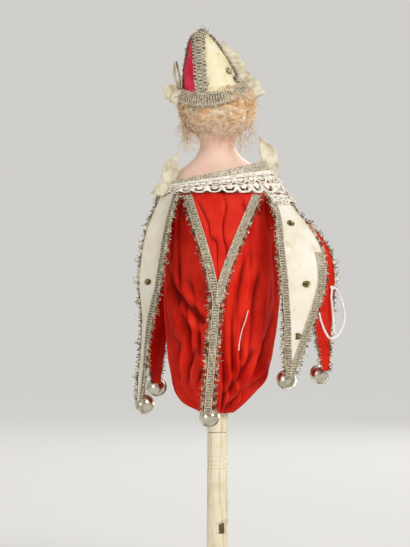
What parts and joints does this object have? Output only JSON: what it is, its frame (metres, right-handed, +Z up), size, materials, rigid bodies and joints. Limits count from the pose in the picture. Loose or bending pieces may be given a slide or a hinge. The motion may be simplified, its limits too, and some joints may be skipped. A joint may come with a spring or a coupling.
{
  "type": "marotte",
  "caption": "Doll's head on a whistle handle: a silk bag over a spinning music box, pointed silk tabs with bells, lace collar and peaked cap.",
  "frame": {"origin": "centre of the handle's mouth end face", "axes": "+Z up the handle towards the cap, the doll faces -Y"},
  "size_m": [0.122, 0.0897, 0.3185],
  "materials": {
    "bone": "polished turned bone",
    "pearwood": "plain turned wood",
    "limewood": "plain sawn wood",
    "pasteboard": "rolled pasteboard",
    "brass": "worn brass",
    "steel": "drawn steel",
    "bisque": "matt tinted bisque",
    "glass_eye": "blown glass",
    "cork": "cork",
    "mohair": "curled mohair",
    "red_silk": "plain red silk",
    "cap_red_silk": "plain pinkish red silk",
    "cream_silk": "cream silk",
    "lace": "ivory lace",
    "ribbon": "beige silk ribbon",
    "tinsel_braid": "tarnished metal-thread braid",
    "nickel": "plated, slightly tarnished",
    "wadding": "tow and wadding under muslin",
    "cotton": "white cotton string"
  },
  "bodies": {
    "handle": {"handle_tube": "bone", "whistle_plug": "pearwood", "handle_ferrule": "bone", "spindle": "steel", "spindle_worm": "brass", "thrust_washer": "brass"},
    "doll": {"drum_bottom": "limewood", "spindle_bush": "brass", "drum_wall": "pasteboard", "drum_top": "limewood", "barrel_frame": "brass", "comb_rest": "brass", "comb": "steel", "comb_screw": "steel", "torso_padding": "wadding", "neck_post": "limewood", "silk_bag": "red_silk", "shoulder_head": "bisque", "eye_left": "glass_eye", "eye_right": "glass_eye", "pate": "cork", "wig": "mohair", "cap_gore_cream_back": "cream_silk", "cap_gore_red_right": "cap_red_silk", "cap_gore_cream_front": "cream_silk", "cap_gore_red_left": "cap_red_silk", "cap_bow_right": "ribbon", "cap_bow_left": "ribbon", "lace_collar": "lace", "neckline_braid": "tinsel_braid", "shoulder_bow_right": "ribbon", "shoulder_bow_left": "ribbon"},
    "barrel": {"barrel": "brass", "barrel_wheel": "brass", "barrel_arbor": "steel"},
    "tab_back": {"tab_back": "red_silk"},
    "bell_back": {"bell_back": "nickel", "bell_pellet_back": "steel"},
    "tab_back_right": {"tab_back_right": "cream_silk"},
    "bell_back_right": {"bell_back_right": "nickel", "bell_pellet_back_right": "steel"},
    "tab_right": {"tab_right": "red_silk", "string_loop": "cotton"},
    "bell_right": {"bell_right": "nickel", "bell_pellet_right": "steel"},
    "tab_front_right": {"tab_front_right": "cream_silk"},
    "bell_front_right": {"bell_front_right": "nickel", "bell_pellet_front_right": "steel"},
    "tab_front": {"tab_front": "red_silk"},
    "bell_front": {"bell_front": "nickel", "bell_pellet_front": "steel"},
    "tab_front_left": {"tab_front_left": "cream_silk"},
    "bell_front_left": {"bell_front_left": "nickel", "bell_pellet_front_left": "steel"},
    "tab_left": {"tab_left": "red_silk"},
    "bell_left": {"bell_left": "nickel", "bell_pellet_left": "steel"},
    "tab_back_left": {"tab_back_left": "cream_silk"},
    "bell_back_left": {"bell_back_left": "nickel", "bell_pellet_back_left": "steel"}
  },
  "joints": [
    {"name": "doll_spin", "type": "hinge", "parent": "handle", "child": "doll", "pos_m": [0, 0, 0.1243], "axis": [0, 0, 1], "continuous": true},
    {"name": "barrel_spin", "type": "hinge", "parent": "doll", "child": "barrel", "pos_m": [0, 0.01084, 0.1413], "axis": [1, 0, 0], "continuous": true},
    {"name": "tab_back_swing", "type": "hinge", "parent": "doll", "child": "tab_back", "pos_m": [-0.0025, 0.0271, 0.2252], "axis": [1, 0, 0], "range_deg": [0, 60]},
    {"name": "bell_back_swing", "type": "hinge", "parent": "tab_back", "child": "bell_back", "pos_m": [0.00566, 0.03574, 0.1], "axis": [0.9877, -0.1564, 0], "range_deg": [-15, 80]},
    {"name": "tab_back_right_swing", "type": "hinge", "parent": "doll", "child": "tab_back_right", "pos_m": [-0.03278, 0.01476, 0.2252], "axis": [0.5446, 0.8387, 0], "range_deg": [0, 60]},
    {"name": "bell_back_right_swing", "type": "hinge", "parent": "tab_back_right", "child": "bell_back_right", "pos_m": [-0.04058, 0.02841, 0.121], "axis": [0.9781, 0.2079, 0], "range_deg": [-15, 80]},
    {"name": "tab_right_swing", "type": "hinge", "parent": "doll", "child": "tab_right", "pos_m": [-0.03825, -0.00377, 0.2252], "axis": [-0.1392, 0.9903, 0], "range_deg": [0, 60]},
    {"name": "bell_right_swing", "type": "hinge", "parent": "tab_right", "child": "bell_right", "pos_m": [-0.06197, -0.00119, 0.12299], "axis": [0.9135, 0.4067, 0], "range_deg": [-15, 80]},
    {"name": "tab_front_right_swing", "type": "hinge", "parent": "doll", "child": "tab_front_right", "pos_m": [-0.02618, -0.02045, 0.2252], "axis": [-0.7547, 0.6561, 0], "range_deg": [0, 60]},
    {"name": "bell_front_right_swing", "type": "hinge", "parent": "tab_front_right", "child": "bell_front_right", "pos_m": [-0.01632, -0.04431, 0.113], "axis": [-0.9781, 0.2079, 0], "range_deg": [-15, 80]},
    {"name": "tab_front_swing", "type": "hinge", "parent": "doll", "child": "tab_front", "pos_m": [-0.0025, -0.0271, 0.2252], "axis": [-1, 0, 0], "range_deg": [0, 60]},
    {"name": "bell_front_swing", "type": "hinge", "parent": "tab_front", "child": "bell_front", "pos_m": [0, -0.0422, 0.106], "axis": [-1, 0, 0], "range_deg": [-15, 80]},
    {"name": "tab_front_left_swing", "type": "hinge", "parent": "doll", "child": "tab_front_left", "pos_m": [0.02118, -0.02045, 0.2252], "axis": [-0.7547, -0.6561, 0], "range_deg": [0, 60]},
    {"name": "bell_front_left_swing", "type": "hinge", "parent": "tab_front_left", "child": "bell_front_left", "pos_m": [0.01632, -0.04431, 0.112], "axis": [-0.9781, -0.2079, 0], "range_deg": [-15, 80]},
    {"name": "tab_left_swing", "type": "hinge", "parent": "doll", "child": "tab_left", "pos_m": [0.03253, -0.00656, 0.2252], "axis": [-0.2419, -0.9703, 0], "range_deg": [0, 60]},
    {"name": "bell_left_swing", "type": "hinge", "parent": "tab_left", "child": "bell_left", "pos_m": [0.03568, -0.01719, 0.11499], "axis": [1, 0, 0], "range_deg": [-15, 80]},
    {"name": "tab_back_left_swing", "type": "hinge", "parent": "doll", "child": "tab_back_left", "pos_m": [0.02707, 0.01554, 0.2252], "axis": [0.5736, -0.8192, 0], "range_deg": [0, 60]},
    {"name": "bell_back_left_swing", "type": "hinge", "parent": "tab_back_left", "child": "bell_back_left", "pos_m": [0.04359, 0.0284, 0.10701], "axis": [0.9613, -0.2756, 0], "range_deg": [-15, 80]}
  ],
  "couplings": [
    {"joint": "barrel_spin", "follows": "doll_spin", "ratio": -0.041667}
  ]
}
